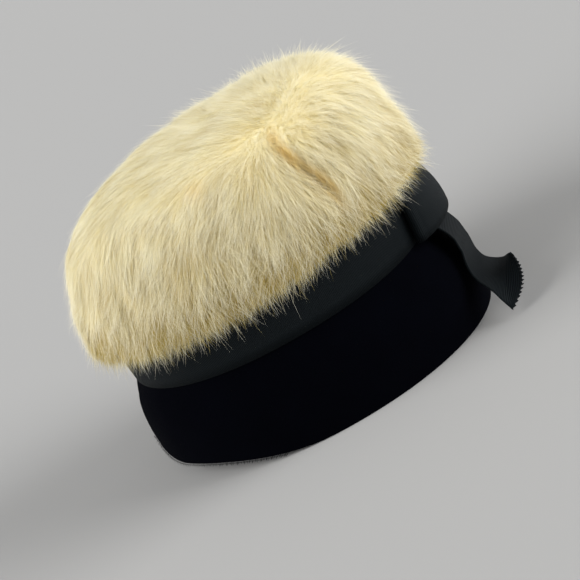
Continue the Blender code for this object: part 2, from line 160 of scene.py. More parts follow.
# Brim: black velvet over a wired bell. The cloth wraps the hem, so its edge is round, and the two ends lap at
# the centre back. The short pile stands up and gives back almost no light.
VELVET_BLACK = (0.0003, 0.0004, 0.0012)
VELVET_SHEEN = (0.0007, 0.0009, 0.0022)
RIM_ANGLE = math.radians(50.0)
RIM_ROUNDING = 0.0007


def node_copy(node, name):
    """Merged copy of a CAD node's mesh in a bmesh, and a new object to hold it."""
    tool = bmesh.new()
    tool.from_mesh(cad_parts[node].data)
    bmesh.ops.remove_doubles(tool, verts=tool.verts, dist=0.00002)
    return tool, new_object(name, bpy.data.meshes.new(name))


def finish_piece(thing, tool, material, slot, *nodes):
    """Fills a piece with its bmesh and material, shades it smooth, and ties it to the hat."""
    tool.to_mesh(thing.data)
    tool.free()
    thing.data.shade_smooth()
    thing.data.materials.append(material)
    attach(thing, "root")
    if nodes:
        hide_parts(*nodes)


velvet, velvet_tree, velvet_shader = new_finish("black_velvet", VELVET_BLACK, 1.0)
velvet_shader.inputs["Specular IOR Level"].default_value = 0.02
velvet_shader.inputs["Sheen Weight"].default_value = 0.004
velvet_shader.inputs["Sheen Roughness"].default_value = 0.4
# VELVET_SHEEN is painted sheen: the nap mottles the black velvet with soft lighter patches of it.
dress(velvet_tree, velvet_shader, VELVET_BLACK, VELVET_SHEEN, 0.02, 0.0007, 0.6, 0.0004)

brim_tool, brim = node_copy("brim", "velvet_brim")
bmesh.ops.join_triangles(brim_tool, faces=brim_tool.faces, angle_face_threshold=math.radians(25.0),
                         angle_shape_threshold=math.radians(60.0))
rim_edges = [edge for edge in brim_tool.edges if edge.calc_face_angle(0.0) > RIM_ANGLE]
rim_lines = [[vert.co.copy() for vert in edge.verts] for edge in rim_edges]
bmesh.ops.bevel(brim_tool, geom=rim_edges, affect="EDGES", offset=RIM_ROUNDING, segments=2, profile=0.5, material=-1)
finish_piece(brim, brim_tool, velvet, "black_velvet", "brim")
soft_brim = brim.modifiers.new("soft", "SUBSURF")
soft_brim.levels = soft_brim.render_levels = 1

# Pile at the hem: the velvet is folded over the brim's edge, so where the hem sweeps up its pile stands out
# in tufts along the fold. Each tuft is a small point of the same velvet.
PILE_PITCH, PILE_LENGTH, PILE_WIDTH, PILE_UNEVEN = 0.0010, 0.0015, 0.0008, 0.35
PILE_OUT, PILE_DOWN = 0.75, 0.65
HEM_TOP = 0.0300

pile_tool = bmesh.new()
for start, end in rim_lines:
    if not all(PILE_LENGTH < point.z < HEM_TOP for point in (start, end)):
        continue
    tufts = max(1, round((end - start).length / PILE_PITCH))
    for tuft in range(tufts):
        foot = start.lerp(end, (tuft + 0.5) / tufts)
        out = ((foot - brim_middle) * Vector((1.0, 1.0, 0.0))).normalized()
        reach = PILE_LENGTH * (1.0 + PILE_UNEVEN * math.sin(9.0 * tuft + 1400.0 * foot.y))
        side = (end - start).normalized() * PILE_WIDTH / 2.0
        tip = foot + (out * PILE_OUT - Vector((0.0, 0.0, PILE_DOWN))) * reach
        pile_tool.faces.new([pile_tool.verts.new(point) for point in (foot - side, foot + side, tip)])
pile = new_object("velvet_pile", bpy.data.meshes.new("velvet_pile"))
finish_piece(pile, pile_tool, velvet, "black_velvet")


# Band: black grosgrain ribbon round the foot of the crown, over the brim's lap. Its close cross ribs are
# in the material, on the ribbon's own map, which gives metres along it and across it.
BAND_LENGTH, BAND_WIDTH = 0.2030, 0.1830
BAND_BACKWARD, BAND_SPREAD, BAND_FOOT = 0.0015, 0.0060, 0.0600
RIBBON_WIDTH, RIBBON, RIB_PITCH, GAP = 0.0380, 0.0010, 0.0009, 0.0004
HEM_LENGTH, HEM_WIDTH, HEM_FORWARD = 0.2290, 0.2030, 0.0026
SQUARENESS = 2.15
# Down the brim: share of the band foot's height, share of the flare
BRIM_SHARES = ((0.0, 0.0), (0.10, 0.24), (0.22, 0.50), (0.36, 0.72), (0.54, 0.87), (0.76, 0.97), (1.0, 1.0))
RIBBON_BLACK, RIBBON_WORN = (0.0016, 0.0030, 0.0044), (0.0034, 0.0052, 0.0070)
hat_middle = Vector((brim_middle.x, (brim_low.y + brim_high.y) / 2.0 + HEM_FORWARD, 0.0))


def mix(low, high, share):
    """Value a share of the way from low to high."""
    return low + (high - low) * share


def ease(share):
    """Smooth step of a share held between 0 and 1."""
    share = min(max(share, 0.0), 1.0)
    return share * share * (3.0 - 2.0 * share)


def outside_point(turn, height):
    """Point on the outside of the band, or of the brim below it."""
    if height >= BAND_FOOT:
        spread = BAND_SPREAD / 2.0 * (height - BAND_FOOT) / RIBBON_WIDTH
        forward, half_length, half_width = -BAND_BACKWARD, BAND_LENGTH / 2.0 + spread, BAND_WIDTH / 2.0 + spread
    else:
        under = RIBBON + GAP
        drop = 1.0 - height / BAND_FOOT
        flare = float(np.interp(drop, *zip(*BRIM_SHARES)))
        forward = mix(-BAND_BACKWARD, HEM_FORWARD, flare)
        half_length = mix(BAND_LENGTH / 2.0 - under, HEM_LENGTH / 2.0, flare)
        half_width = mix(BAND_WIDTH / 2.0 - under, HEM_WIDTH / 2.0, flare)
    ahead, aside = math.cos(math.radians(turn)), math.sin(math.radians(turn))
    reach = (abs(ahead) ** SQUARENESS + abs(aside) ** SQUARENESS) ** (-1.0 / SQUARENESS)
    return hat_middle + Vector((-half_width * reach * aside, -forward - half_length * reach * ahead, height))


def outward(turn, height):
    """Level direction square to the hat's outside."""
    along = outside_point(turn + 1.0, height) - outside_point(turn - 1.0, height)
    return Vector((-along.y, along.x, 0.0)).normalized()


def beside(turn, height, proud):
    """Point at a distance outside the brim or band."""
    return outside_point(turn, height) + outward(turn, height) * proud


def lay_ribbon(name, columns, rows, length, place, closed=False):
    """Ribbon bent from a flat grid by place(share along, share across), mapped in metres, closed if it is a ring."""
    tool = bmesh.new()
    tool.loops.layers.uv.new("ribbon")
    bmesh.ops.create_grid(tool, x_segments=columns, y_segments=rows, size=0.5, calc_uvs=True)
    layer = tool.loops.layers.uv.verify()
    for face in tool.faces:
        for corner in face.loops:
            flat = corner.vert.co
            corner[layer].uv = ((flat.x + 0.5) * length, (flat.y + 0.5) * RIBBON_WIDTH)
    for vert in tool.verts:
        vert.co = place(vert.co.x + 0.5, vert.co.y + 0.5)
    if closed:
        bmesh.ops.remove_doubles(tool, verts=tool.verts, dist=0.00001)
        bmesh.ops.recalc_face_normals(tool, faces=tool.faces)
    return tool, new_object(name, bpy.data.meshes.new(name))


def thicken(thing, offset):
    """Even thickness of a ribbon: offset -1 puts it behind the surface, 0 on both sides."""
    wall = thing.modifiers.new("wall", "SOLIDIFY")
    wall.thickness = RIBBON
    wall.offset = offset


grosgrain, rib_tree, rib_shader = new_finish("black_grosgrain", RIBBON_BLACK, 0.62)
rib_shader.inputs["Specular IOR Level"].default_value = 0.12
rib_shader.inputs["Specular Tint"].default_value = (0.80, 0.96, 1.0, 1.0)
rib_shader.inputs["Sheen Weight"].default_value = 0.005
nap, nap_bump = dress(rib_tree, rib_shader, RIBBON_BLACK, RIBBON_WORN, 0.009, 0.0005, 0.25, 0.0002)
ribbon_map = add_node(rib_tree, "ShaderNodeUVMap", uv_map="ribbon")
ribs = add_node(rib_tree, "ShaderNodeTexWave", bands_direction="X", Scale=math.tau / (20.0 * RIB_PITCH),
                Distortion=0.0)
rib_bump = add_node(rib_tree, "ShaderNodeBump", Strength=0.9, Distance=0.0003)
# The valleys between the ribs are darkened in the base colour: painted shade, besides the bump.
painted_rib_shade = add_node(rib_tree, "ShaderNodeMix", data_type="RGBA", blend_type="MULTIPLY")
painted_rib_shade.inputs["B"].default_value = (0.15, 0.15, 0.17, 1.0)
valley_shade_share = add_node(rib_tree, "ShaderNodeMapRange", To_Min=1.0, To_Max=0.0)
rib_tree.links.new(ribbon_map.outputs["UV"], ribs.inputs["Vector"])
rib_tree.links.new(ribs.outputs["Fac"], rib_bump.inputs["Height"])
rib_tree.links.new(nap_bump.outputs["Normal"], rib_bump.inputs["Normal"])
rib_tree.links.new(rib_bump.outputs["Normal"], rib_shader.inputs["Normal"])
rib_tree.links.new(ribs.outputs["Fac"], valley_shade_share.inputs["Value"])
rib_tree.links.new(valley_shade_share.outputs["Result"], painted_rib_shade.inputs["Factor"])
rib_tree.links.new(nap.outputs["Colour"], painted_rib_shade.inputs["A"])
rib_tree.links.new(painted_rib_shade.outputs["Result"], rib_shader.inputs["Base Color"])


def band_place(along, across):
    """Point of the band's ribbon, starting at the back."""
    return outside_point(180.0 - 360.0 * along, BAND_FOOT + RIBBON_WIDTH * across)


def path_length(points):
    """Length of a line through points."""
    return sum((b - a).length for a, b in zip(points, points[1:]))


band_round = path_length([outside_point(turn, BAND_FOOT) for turn in range(361)])
band_tool, band = lay_ribbon("ribbon_band", 288, 6, band_round, band_place, closed=True)
finish_piece(band, band_tool, grosgrain, "black_grosgrain", "hat_band")
thicken(band, -1.0)


# Bow loop: the same ribbon folded flat round the front of the band, its two ends tucked away behind it.
# The outer leaf stands off the band, most at the middle, and leans back towards the crown at its upper edge.
FOLD_TURN, FOLD_ROUND_TURN = 33.0, 2.6
FOLD_PROUD, BOW_PROUD, BOW_FULLNESS = 0.0085, 0.0180, 0.7
FOLD_LEAN, BOW_LEAN, BOW_SHY = 0.0035, 0.0140, 0.0015
LEAF_PART, FOLD_PART = 0.46, 0.04


def loop_station(along):
    """Turn, fullness and share outward from the inner leaf, at a share along the loop."""
    if along <= LEAF_PART:
        turn = FOLD_TURN * (2.0 * along / LEAF_PART - 1.0)
        full = math.cos(math.radians(90.0 * turn / FOLD_TURN)) ** BOW_FULLNESS if abs(turn) < FOLD_TURN else 0.0
        return turn, full, 1.0
    along -= LEAF_PART
    if along <= FOLD_PART:
        swing = math.pi * along / FOLD_PART
        return FOLD_TURN + FOLD_ROUND_TURN * math.sin(swing), 0.0, 0.5 + 0.5 * math.cos(swing)
    along -= FOLD_PART
    if along <= LEAF_PART:
        return FOLD_TURN * (1.0 - 2.0 * along / LEAF_PART), 0.0, 0.0
    swing = math.pi * (along - LEAF_PART) / FOLD_PART
    return -FOLD_TURN - FOLD_ROUND_TURN * math.sin(swing), 0.0, 0.5 - 0.5 * math.cos(swing)


def loop_place(along, across):
    """Point of the loop's ribbon."""
    turn, full, outer = loop_station(along)
    height = BAND_FOOT + GAP + (RIBBON_WIDTH - BOW_SHY) * across
    proud = mix(FOLD_PROUD, BOW_PROUD, full) - mix(FOLD_LEAN, BOW_LEAN, full) * across * across
    return beside(turn, height, mix(GAP + RIBBON / 2.0, proud, outer))


loop_length = path_length([loop_place(step / 200.0, 0.0) for step in range(201)])
loop_tool, bow_loop = lay_ribbon("ribbon_loop", 150, 8, loop_length, loop_place, closed=True)
finish_piece(bow_loop, loop_tool, grosgrain, "black_grosgrain", "bow_loop")
thicken(bow_loop, 0.0)


# Bow tail: the ribbon's free end. It comes from inside the loop, runs down over the brim and swings out
# behind, where its end is cut with pinking shears.
TAIL_FLARE = 0.0265
TEETH, TOOTH_DEPTH = 15, 0.0022
END_BULGE, END_START = 0.0080, 0.93
# Down the tail: turn, share of the band foot's height, share of the flare, twist in degrees
TAIL_SHARES = (
    (15.0, 1.42, 0.09, 0.0),
    (15.5, 1.24, 0.14, 0.0),
    (16.0, 1.08, 0.33, 0.0),
    (17.5, 0.86, 0.34, -4.0),
    (19.5, 0.64, 0.20, -7.0),
    (22.0, 0.47, 0.13, -8.0),
    (25.0, 0.37, 0.27, -5.0),
    (29.0, 0.31, 0.65, 6.0),
    (33.0, 0.27, 1.00, 36.0),
)


def along_table(table, place):
    """Values at a place along a table's rows, on a curve through them."""
    index = min(int(place), len(table) - 2)
    share = place - index
    rows = [table[min(max(index + step, 0), len(table) - 1)] for step in (-1, 0, 1, 2)]
    values = []
    for a, b, c, d in zip(*rows):
        bend = (2 * a - 5 * b + 4 * c - d) * share ** 2 + (3 * b - a - 3 * c + d) * share ** 3
        values.append(b + 0.5 * ((c - a) * share + bend))
    return values


def tail_place(along, across):
    """Point of the tail's ribbon: its last row is cut in teeth along a round end."""
    turn, high, flare, twist = along_table(TAIL_SHARES, along * (len(TAIL_SHARES) - 1))
    height = BAND_FOOT * high
    out = outward(turn, height)
    lean = math.radians(twist)
    side = Vector((out.y, -out.x, 0.0)) * math.cos(lean) - Vector((0.0, 0.0, 1.0)) * math.sin(lean)
    point = beside(turn, height, TAIL_FLARE * flare) + side * RIBBON_WIDTH * (across - 0.5)
    near_end = max(0.0, (along - END_START) / (1.0 - END_START))
    tooth = TOOTH_DEPTH * (round(across * 2 * TEETH) % 2) if along > 0.999 else 0.0
    return point + out * (END_BULGE * 4.0 * across * (1.0 - across) * near_end - tooth)


tail_length = path_length([tail_place(step / 100.0, 0.5) for step in range(101)])
tail_tool, bow_tail = lay_ribbon("ribbon_tail", 96, 2 * TEETH, tail_length, tail_place)
finish_piece(bow_tail, tail_tool, grosgrain, "black_grosgrain", "bow_tail")
thicken(bow_tail, 0.0)


# Fur pelt: the skin and its woolly undercoat, on the crown from the top to the lip over the band. It is the
# form that the hair grows from, and shows only as warm shade between the locks. A tuck is sewn into it on the
# wearer's right, where the skin is drawn in.
HAT_HEIGHT = 0.1775
FUR_OVER_ENDS, FUR_OVER_SIDES = 0.0150, 0.0115
SEAT_LIFT = 0.0012
LIP_LIFT, LIP_SWELL, LIP_CLIMB, BOW_FADE_TURN = 0.0035, 0.0080, 0.30, 10.0
PELT_COLUMNS, PELT_ROWS = 300, 76
PELT_DEPTH, PELT_START, LIP_SHARE, LIP_SLOPE = 0.0032, 0.15, 0.06, -0.75
# Up the pelt: front and back reach as shares of half its length, front and back height as shares of the hat's
PELT_SHARES = (
    (0.958, 0.948, 0.522, 0.451),
    (0.978, 0.976, 0.540, 0.476),
    (0.994, 1.000, 0.568, 0.513),
    (1.002, 1.008, 0.606, 0.562),
    (1.002, 0.992, 0.656, 0.628),
    (0.985, 0.962, 0.720, 0.694),
    (0.960, 0.920, 0.790, 0.760),
    (0.930, 0.865, 0.855, 0.818),
    (0.890, 0.790, 0.912, 0.868),
    (0.830, 0.690, 0.956, 0.912),
    (0.735, 0.550, 0.984, 0.950),
    (0.560, 0.370, 0.998, 0.980),
    (0.320, 0.170, 1.000, 0.994),
)
# Along the tuck from the top of the crown downwards: its place, and how deep it is there
TUCK = np.array([
    (-0.0670, -0.0360, 0.1699, 0.2),
    (-0.0796, -0.0335, 0.1610, 0.9),
    (-0.0868, -0.0399, 0.1459, 0.9),
    (-0.0891, -0.0489, 0.1279, 1.0),
    (-0.0913, -0.0508, 0.1107, 0.1),
])
TUCK_DEPTH, TUCK_SPREAD = 0.0032, 0.0019
ROLL_RISE, ROLL_AWAY, ROLL_SPREAD = 0.0038, 0.0055, 0.0042
LUMP_RISE, LUMP_SIZE, DRIFT_GAIN = 0.0013, 0.024, 1.6
UNDER_COLOUR, UNDER_WORN = (0.92, 0.83, 0.55), (0.95, 0.89, 0.66)


def lip_shift(turn, climb):
    """How the bow lifts the fur and pushes it out, most at the lip and nothing from LIP_CLIMB up."""
    near = 1.0 - ease((abs(turn) - FOLD_TURN - FOLD_ROUND_TURN) / BOW_FADE_TURN)
    near *= 1.0 - ease(climb / LIP_CLIMB)
    return (Vector((0.0, 0.0, LIP_LIFT)) + outward(turn, BAND_FOOT) * LIP_SWELL) * near


def pelt_point(turn, climb, narrower=0.0):
    """Point on the outside of the fur, a share of the way up, or a little inside it."""
    front, back, front_height, back_height = along_table(PELT_SHARES, max(climb, 0.0) * (len(PELT_SHARES) - 1))
    share = (front + back) / 2.0
    half_length = BAND_LENGTH / 2.0 + FUR_OVER_ENDS
    half_width = BAND_WIDTH / 2.0 + FUR_OVER_SIDES
    ahead, aside = math.cos(math.radians(turn)), math.sin(math.radians(turn))
    reach = (abs(ahead) ** SQUARENESS + abs(aside) ** SQUARENESS) ** (-1.0 / SQUARENESS)
    point = hat_middle + Vector((
        -(half_width * share - narrower) * reach * aside,
        -half_length * (front - back) / 2.0 - (half_length * share - narrower) * reach * ahead,
        HAT_HEIGHT * mix(front_height, back_height, 0.5 - 0.5 * ahead),
    ))
    return point + lip_shift(turn, climb)


def pelt_place(around, rising):
    """Point of the pelt's skin: its first rows turn under the lip to the band, the rest climb to the top."""
    turn = 360.0 * around - 180.0
    if rising < LIP_SHARE:
        seat = beside(turn, BAND_FOOT + RIBBON_WIDTH, SEAT_LIFT) + Vector((0.0, 0.0, SEAT_LIFT))
        return seat.lerp(pelt_point(turn, PELT_START, PELT_DEPTH), rising / LIP_SHARE)
    return pelt_point(turn, mix(PELT_START, 1.0, (rising - LIP_SHARE) / (1.0 - LIP_SHARE)))


def drift(points, size, seed):
    """Smooth random value for each point, between about -1 and 1."""
    return np.array([noise.noise(Vector(point) / size + Vector((seed, 0.0, 0.0))) for point in points]) * DRIFT_GAIN


def bump_at(distance, spread):
    """1 at no distance, falling softly to 0 past the spread."""
    return np.exp(-(distance / spread) ** 2)


def from_tuck(points):
    """Way from the nearest point of the tuck to each point, its length, and the tuck's depth there."""
    best, ways, depths = np.full(len(points), 9.0), np.zeros((len(points), 3)), np.zeros(len(points))
    for a, b in zip(TUCK, TUCK[1:]):
        line = b[:3] - a[:3]
        share = np.clip(((points - a[:3]) @ line) / (line @ line), 0.0, 1.0)
        away = points - a[:3] - share[:, None] * line
        distance = np.linalg.norm(away, axis=1)
        nearer = distance < best
        best[nearer], ways[nearer] = distance[nearer], away[nearer]
        depths[nearer] = mix(a[3], b[3], share[nearer])
    return ways, best, depths


pelt_tool = bmesh.new()
bmesh.ops.create_grid(pelt_tool, x_segments=PELT_COLUMNS, y_segments=PELT_ROWS, size=0.5)
under_lip = pelt_tool.verts.layers.int.new("under_lip")
for vert in pelt_tool.verts:
    vert[under_lip] = vert.co.y + 0.5 < LIP_SHARE
    vert.co = pelt_place(vert.co.x + 0.5, vert.co.y + 0.5)
bmesh.ops.remove_doubles(pelt_tool, verts=pelt_tool.verts, dist=0.00001)
top_hole = [edge for edge in pelt_tool.edges
            if edge.is_boundary and edge.verts[0].co.z > BAND_FOOT + 2.0 * RIBBON_WIDTH]
bmesh.ops.holes_fill(pelt_tool, edges=top_hole, sides=0)
bmesh.ops.recalc_face_normals(pelt_tool, faces=pelt_tool.faces)
pelt_tool.normal_update()
skin_points = np.array([vert.co for vert in pelt_tool.verts])
skin_normals = np.array([vert.normal for vert in pelt_tool.verts])
crown_middle = np.array(hat_middle) + (0.0, 0.0, BAND_FOOT + RIBBON_WIDTH)
if (skin_normals * (skin_points - crown_middle)).sum() < 0.0:
    bmesh.ops.reverse_faces(pelt_tool, faces=pelt_tool.faces)
    skin_normals = -skin_normals
tuck_ways, to_tuck, tuck_depths = from_tuck(skin_points)
sunk = PELT_DEPTH + TUCK_DEPTH * tuck_depths * bump_at(to_tuck, TUCK_SPREAD)
sunk += LUMP_RISE * drift(skin_points, LUMP_SIZE, 41.0)
sunk -= (ROLL_RISE * tuck_depths * bump_at(tuck_ways[:, 1] + ROLL_AWAY, ROLL_SPREAD)
         * bump_at(to_tuck, 2.0 * ROLL_AWAY))
for vert, inwards in zip(pelt_tool.verts, -skin_normals * sunk[:, None]):
    if not vert[under_lip]:
        vert.co += Vector(inwards)
pelt_tool.normal_update()

undercoat, under_tree, under_shader = new_finish("fur_undercoat", UNDER_COLOUR, 0.95)
dress(under_tree, under_shader, UNDER_COLOUR, UNDER_WORN, 0.006, 0.0008, 0.8, 0.001)
pelt = new_object("fur_pelt", bpy.data.meshes.new("fur_pelt"))
skin = bvhtree.BVHTree.FromBMesh(pelt_tool)
bmesh.ops.triangulate(pelt_tool, faces=pelt_tool.faces)
outer_faces = np.array([[vert.co for vert in face.verts] for face in pelt_tool.faces if face.normal.z > LIP_SLOPE])
finish_piece(pelt, pelt_tool, undercoat, "cream_fur", "fur_crown")


# Hair: straight fur, combed away from a parting over the top of the crown and falling to the lip. It lies in
# fine pointed locks that overlap like shingles, smooth on top and shaggier lower down. Each hair is one
# tapering strip, yellow at the root and nearly white at the tip.
HAIRS, GUIDES, TUFTS, SEGMENTS = 180000, 60000, 5, 3
HAIR_LENGTH, HAIR_ROLL = 0.0230, 0.30
HAIR_WIDTH, THINNEST, THICKEST, TAPER = 0.00015, 0.7, 1.25, (1.0, 1.0, 0.8, 0.0)

# How it is combed: the line of the parting, how the hairs turn down away from it, and along the tuck
PARTING = np.array(((-0.0638, -0.0415, 0.1706), (-0.0300, -0.0560, 0.1735)))
PARTING_SPREAD, FALL_ZONE = 0.015, (0.015, 0.115)
OUTWARD_LOSS, FALL_PULL = 0.62, np.array((0.0, 0.0, -0.85))
TUCK_COMB, TUCK_COMB_SPREAD = 0.7, 0.012
LIP_DROOP, HANG_SLOPE, HANG_DROP = np.array((0.0, 0.0, -0.25)), -0.6, 0.0005

# Parts of the crown, each from where it starts to where it is full: back to front, front to back, or in height
FRONT_ZONE, BACK_ZONE = (-0.020, -0.100), (-0.010, 0.030)
TOP_ZONE, FRONT_TOP_ZONE, BACK_TOP_ZONE = (0.140, 0.160), (0.120, 0.160), (0.135, 0.155)
LOW_ZONE, SIDE_SHADE_ZONE, LIP_SHADE_ZONE = (0.150, 0.105), (0.165, 0.135), (0.128, 0.093)

# How the locks wander from side to side, in radians, and how high their tips stand over the pelt
WAVE_SWAY, WAVE_SIZE = 0.30, 0.024
LOCK_SWAY, LOCK_SWAY_LOW, LOCK_SIZE = 0.22, 0.22, 0.008
LOOSE_SWAY, LOOSE_SWAY_LOW, LOOSE_SWAY_PARTING = 0.08, 0.18, 1.2
ROOT_LIFT, TIP_LIFT, TIP_LIFT_SPREAD = 0.0004, 0.0036, 0.0003
LIFT_WAVE, LIFT_WAVE_SIZE = 0.0008, 0.012
FRONT_LIFT, FRONT_TOP_LIFT, TOP_LIFT, BACK_TOP_DROP = 0.0016, 0.0024, 0.0016, 0.0022
TUCK_PRESS, TUCK_PRESS_SPREAD = 0.75, 0.010
LENGTH_WAVE, LENGTH_WAVE_SIZE, SHORTER_PARTING, SHORTER_FRONT = 0.12, 0.015, 0.35, 0.15

# How the hairs of a lock close up and how far they reach, and which ones stray from it
CLUMP, CLUMP_LOW, CLUMP_STRAY = 0.08, 0.50, 0.3
REACH_LEAST, REACH_MOST, REACH_STRAY, REACH_SHORTEST = 0.45, 1.05, 0.25, 0.12
OVERHANG, OVERHANG_SPREAD, OVERHANG_STRAY = -0.0062, 0.0028, 0.0080
OVERHANG_WAVE, OVERHANG_WAVE_SIZE = 0.0025, 0.009
STRAYS, STRAYS_LOW = 0.10, 0.10
STRAY_RISE_LEAST, STRAY_RISE_MOST, STRAY_RISE_FRONT, STRAY_RISE_BACK = 0.0003, 0.0030, 0.3, -0.6
FRIZZ, FRIZZ_LOW, FRIZZ_STRAY = 0.0018, 0.0012, 1.8
CURL, CURL_STRAY = 0.0004, 0.0012
TUCK_OPEN, TUCK_OPEN_SPREAD = 0.0008, 0.0015
# How late along a hair each of these comes, as a power of its share
CLUMP_LATE, FRIZZ_LATE, RISE_LATE = 0.8, 1.5, 1.4

# Its colours: from root to tip, the warm yellow and shade that a low tone adds, and the tan of the tuck and the
# dimple
HAIR_COLOURS = ((0.0, (0.96, 0.89, 0.58)), (0.30, (0.97, 0.91, 0.64)), (0.65, (0.98, 0.94, 0.74)),
                (1.0, (0.99, 0.98, 0.88)))
WARM_YELLOWING_AND_SHADE, TAN = (0.54, 0.41, 0.03), (0.92, 0.68, 0.20)
TONE, TONE_SIDE, TONE_LIP, TONE_STRAY = 0.95, 0.27, 0.85, 0.65
TONE_WAVE, TONE_WAVE_SIZE = 0.18, 0.012
TONE_LOCK, TONE_LOCK_LOW, TONE_HAIR = 0.10, 0.16, 0.12
TAN_SPREAD = 0.0028
DIMPLE, DIMPLE_TAN, DIMPLE_SPREAD = np.array((-0.0797, 0.0183, 0.1614)), 0.25, 0.006
FUR_SHADE, FUR_SHADE_LOW = 0.20, 0.50
LIGHT_THROUGH = 0.46
chance = np.random.default_rng(11)


def unit(vectors):
    """Vectors made one long."""
    return vectors / np.maximum(np.linalg.norm(vectors, axis=-1, keepdims=True), 1e-9)


def share_from(values, start, full):
    """Share of the way from where a zone starts to where it is full, held between 0 and 1."""
    return np.clip((values - start) / (full - start), 0.0, 1.0)


def roots_on_skin(count):
    """Points scattered evenly over the outside of the pelt."""
    edges = outer_faces[:, 1:] - outer_faces[:, :1]
    areas = np.linalg.norm(np.cross(edges[:, 0], edges[:, 1]), axis=1)
    picks = chance.choice(len(areas), size=count, p=areas / areas.sum())
    a, b = np.sort(chance.random((2, count)), axis=0)
    return outer_faces[picks, 0] + edges[picks, 0] * a[:, None] + edges[picks, 1] * (b - a)[:, None]


def from_parting(points):
    """Way from the nearest point of the parting."""
    line = PARTING[1] - PARTING[0]
    share = np.clip((points - PARTING[0]) @ line / (line @ line), 0.0, 1.0)
    return points - PARTING[0] - share[:, None] * line


def comb(points, normals, sway):
    """Direction in which the fur lies: out from the parting, along the tuck, down towards the lip."""
    away = from_parting(points)
    falls = share_from(np.linalg.norm(away, axis=1, keepdims=True), *FALL_ZONE)
    ways = unit(away) * (1.0 - OUTWARD_LOSS * falls) + FALL_PULL * falls
    by_tuck = TUCK_COMB * bump_at(from_tuck(points)[1], TUCK_COMB_SPREAD)[:, None]
    ways = ways * (1.0 - by_tuck) + unit(TUCK[-1, :3] - TUCK[1, :3]) * by_tuck
    ways = unit(ways - normals * (ways * normals).sum(1, keepdims=True))
    return ways * np.cos(sway)[:, None] + np.cross(normals, ways) * np.sin(sway)[:, None]


# Guides: one for each lock, stepped over the pelt. Past the lip they hang free.
guide_roots = roots_on_skin(GUIDES)
normals = np.array([skin.find_nearest(Vector(point))[1] for point in guide_roots])
at_parting = bump_at(np.linalg.norm(from_parting(guide_roots), axis=1), PARTING_SPREAD)
at_tuck = bump_at(from_tuck(guide_roots)[1], TUCK_PRESS_SPREAD)
at_front = share_from(guide_roots[:, 1], *FRONT_ZONE)
at_back_top = share_from(guide_roots[:, 1], *BACK_ZONE) * share_from(guide_roots[:, 2], *BACK_TOP_ZONE)
high_up = share_from(guide_roots[:, 2], *TOP_ZONE) * (1.0 - at_back_top)
front_top = share_from(guide_roots[:, 2], *FRONT_TOP_ZONE) * at_front
low_down = share_from(guide_roots[:, 2], *LOW_ZONE)
sway = WAVE_SWAY * drift(guide_roots, WAVE_SIZE, 3.0)
sway += (LOCK_SWAY + LOCK_SWAY_LOW * low_down) * drift(guide_roots, LOCK_SIZE, 9.0)
sway += chance.normal(0.0, 1.0, GUIDES) * (LOOSE_SWAY + LOOSE_SWAY_LOW * low_down + LOOSE_SWAY_PARTING * at_parting)
lift = TIP_LIFT + LIFT_WAVE * drift(guide_roots, LIFT_WAVE_SIZE, 5.0) + chance.normal(0.0, TIP_LIFT_SPREAD, GUIDES)
lift += FRONT_LIFT * at_front + FRONT_TOP_LIFT * front_top + TOP_LIFT * high_up - BACK_TOP_DROP * at_back_top
lift *= 1.0 - TUCK_PRESS * at_tuck
lengths = HAIR_LENGTH * (1.0 + LENGTH_WAVE * drift(guide_roots, LENGTH_WAVE_SIZE, 1.0))
lengths *= 1.0 - SHORTER_PARTING * at_parting - SHORTER_FRONT * at_front
on_skin, guide_points, guide_normals = guide_roots.copy(), [guide_roots], [normals.copy()]
ways = comb(on_skin, normals, sway)
for segment in range(1, SEGMENTS + 1):
    moved = on_skin + ways * (lengths / SEGMENTS)[:, None]
    new_ways = comb(moved, normals, sway)
    for index in range(GUIDES):
        place, normal, _, _ = skin.find_nearest(Vector(moved[index]))
        if normal.z < HANG_SLOPE or moved[index, 2] < place.z - HANG_DROP:
            new_ways[index] = unit(ways[index] + LIP_DROOP)
        else:
            moved[index], normals[index] = place, normal
    on_skin, ways = moved, new_ways
    guide_points.append(on_skin + normals * (ROOT_LIFT + lift * segment / SEGMENTS)[:, None])
    guide_normals.append(normals.copy())
guide_points, guide_normals = np.array(guide_points), np.array(guide_normals)

# Strands: each hair follows the guide of its lock, closes up to it towards the tip, and ends over the band.
finder = kdtree.KDTree(GUIDES)
for index, point in enumerate(guide_roots):
    finder.insert(Vector(point), index)
finder.balance()
roots = roots_on_skin(HAIRS)
lock = np.array([finder.find(Vector(point))[1] for point in roots])
stray = chance.random(HAIRS) < STRAYS + STRAYS_LOW * low_down[lock]
clump = (chance.uniform(0.0, CLUMP, GUIDES) + CLUMP_LOW * low_down * chance.random(GUIDES))[lock]
clump *= np.where(stray, CLUMP_STRAY, 1.0)
reach = chance.uniform(REACH_LEAST, REACH_MOST, HAIRS) + REACH_STRAY * stray
turns = np.degrees(np.arctan2(-(roots[:, 0] - hat_middle.x), -(roots[:, 1] - hat_middle.y)))
lip_heights = np.interp(turns, range(-180, 181, 3), [pelt_point(turn, 0.0).z for turn in range(-180, 181, 3)])
falls = np.maximum(roots[:, 2] - guide_points[-1, lock, 2], 0.0001)
overhang = OVERHANG + OVERHANG_WAVE * drift(guide_roots, OVERHANG_WAVE_SIZE, 31.0)[lock]
overhang += chance.normal(0.0, OVERHANG_SPREAD, HAIRS)
overhang += np.where(stray, chance.uniform(0.0, OVERHANG_STRAY, HAIRS), 0.0)
reach = np.minimum(reach, (np.maximum(roots[:, 2] - lip_heights, 0.0) + overhang) / falls)
reach = np.maximum(reach, REACH_SHORTEST)
frizz = unit(np.cross(guide_normals[0], guide_points[1] - guide_points[0]))[lock]
